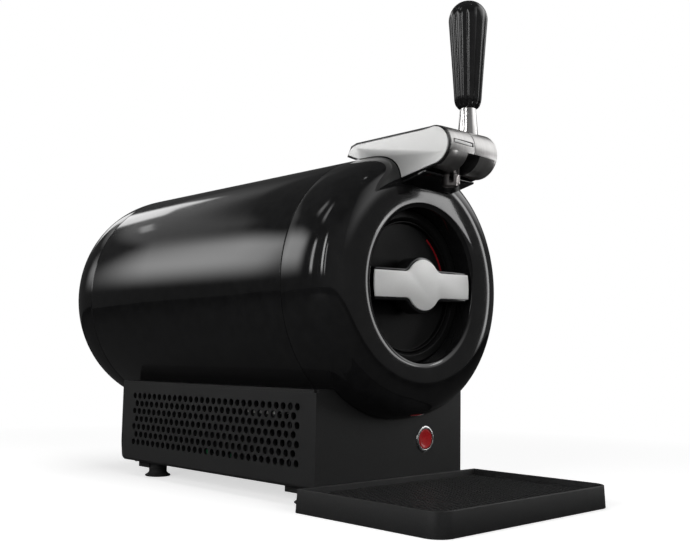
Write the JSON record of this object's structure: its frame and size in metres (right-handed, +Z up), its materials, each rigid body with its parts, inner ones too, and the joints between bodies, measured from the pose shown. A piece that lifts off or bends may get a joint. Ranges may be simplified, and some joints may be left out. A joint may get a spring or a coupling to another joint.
{
  "type": "mini keg beer dispenser",
  "caption": "Counter-top cooler and tap for a small beer keg: a barrel with a round bayonet door, a lever tap head, a ventilated base and a drip tray.",
  "frame": {"origin": "on the ground, under the middle of the overall box", "axes": "+Z up, +Y from the nose and its door back to the domed rear cap, +X to the right as seen from the front"},
  "size_m": [0.21, 0.4965, 0.3896],
  "materials": {
    "gloss_black": "piano gloss",
    "satin_black": "satin",
    "matte_black": "fine matte",
    "light_grey": "satin",
    "brushed": "fine satin brush",
    "polished": "polished",
    "silver": "bright",
    "steel": "plain",
    "aluminium": "plain",
    "foam": "foam",
    "ceramic": "plain",
    "rubber": "matte",
    "deep_red": "gloss",
    "button_red": "satin",
    "board": "solder mask"
  },
  "bodies": {
    "machine": {"barrel_shell": "gloss_black", "rear_cap": "gloss_black", "nose_ring": "gloss_black", "bore_liner": "gloss_black", "cooling_chamber": "aluminium", "insulation_sleeve": "foam", "tube_port": "rubber", "cold_block": "aluminium", "thermoelectric_module": "ceramic", "heat_sink": "aluminium", "fan_frame": "matte_black", "bayonet_ring": "matte_black", "chamber_seal": "rubber", "base_chassis": "satin_black", "left_vent_panel": "satin_black", "right_vent_panel": "satin_black", "front_panel": "satin_black", "base_floor": "satin_black", "front_left_foot": "rubber", "front_right_foot": "rubber", "rear_left_foot": "rubber", "rear_right_foot": "rubber", "button_bezel": "silver", "button_switch": "matte_black", "control_board": "board", "power_inlet": "matte_black", "floor_screws": "steel", "tap_chin": "satin_black", "nozzle": "steel", "hinge_bracket": "matte_black", "hinge_pin": "steel"},
    "fan": {"fan_rotor": "matte_black"},
    "door": {"door_rim": "matte_black"},
    "door_lock": {"door_dial": "matte_black", "lock_indicator": "deep_red", "door_grip": "satin_black", "door_bar_plate": "light_grey", "bayonet_rotor": "matte_black", "rotor_cap": "matte_black"},
    "button": {"power_button": "button_red"},
    "tray": {"drip_tray": "satin_black"},
    "grid": {"drip_grid": "satin_black"},
    "head": {"head_body": "matte_black", "left_cheek": "light_grey", "right_cheek": "light_grey", "drum_cap": "brushed", "latch_tab": "brushed", "axle_pin": "steel", "pinch_anvil": "steel"},
    "lever": {"lever_hub": "brushed", "pinch_cam": "matte_black", "lever_neck": "polished", "lever_stud": "steel", "lever_grip": "gloss_black"}
  },
  "joints": [
    {"name": "fan_spin", "type": "hinge", "parent": "machine", "child": "fan", "pos_m": [0, 0.02245, 0.03], "axis": [0, 0, 1], "continuous": true},
    {"name": "door_pull", "type": "slide", "parent": "machine", "child": "door", "axis": [0, -1, 0], "range_m": [0, 0.06]},
    {"name": "door_turn", "type": "hinge", "parent": "door", "child": "door_lock", "pos_m": [0, -0.13755, 0.1666], "axis": [0, 1, 0], "range_deg": [0, 60]},
    {"name": "button_press", "type": "slide", "parent": "machine", "child": "button", "axis": [0, 1, 0], "range_m": [0, 0.0015], "stiffness_N_per_m": 600},
    {"name": "tray_pull", "type": "slide", "parent": "machine", "child": "tray", "axis": [0, -1, 0], "range_m": [0, 0.1]},
    {"name": "grid_lift", "type": "slide", "parent": "tray", "child": "grid", "axis": [0, 0, 1], "range_m": [0, 0.04]},
    {"name": "head_lift", "type": "hinge", "parent": "machine", "child": "head", "pos_m": [0, -0.09455, 0.276], "axis": [-1, 0, 0], "range_deg": [0, 30]},
    {"name": "lever_pull", "type": "hinge", "parent": "head", "child": "lever", "pos_m": [0, -0.17945, 0.26685], "axis": [1, 0, 0], "range_deg": [0, 45]}
  ]
}
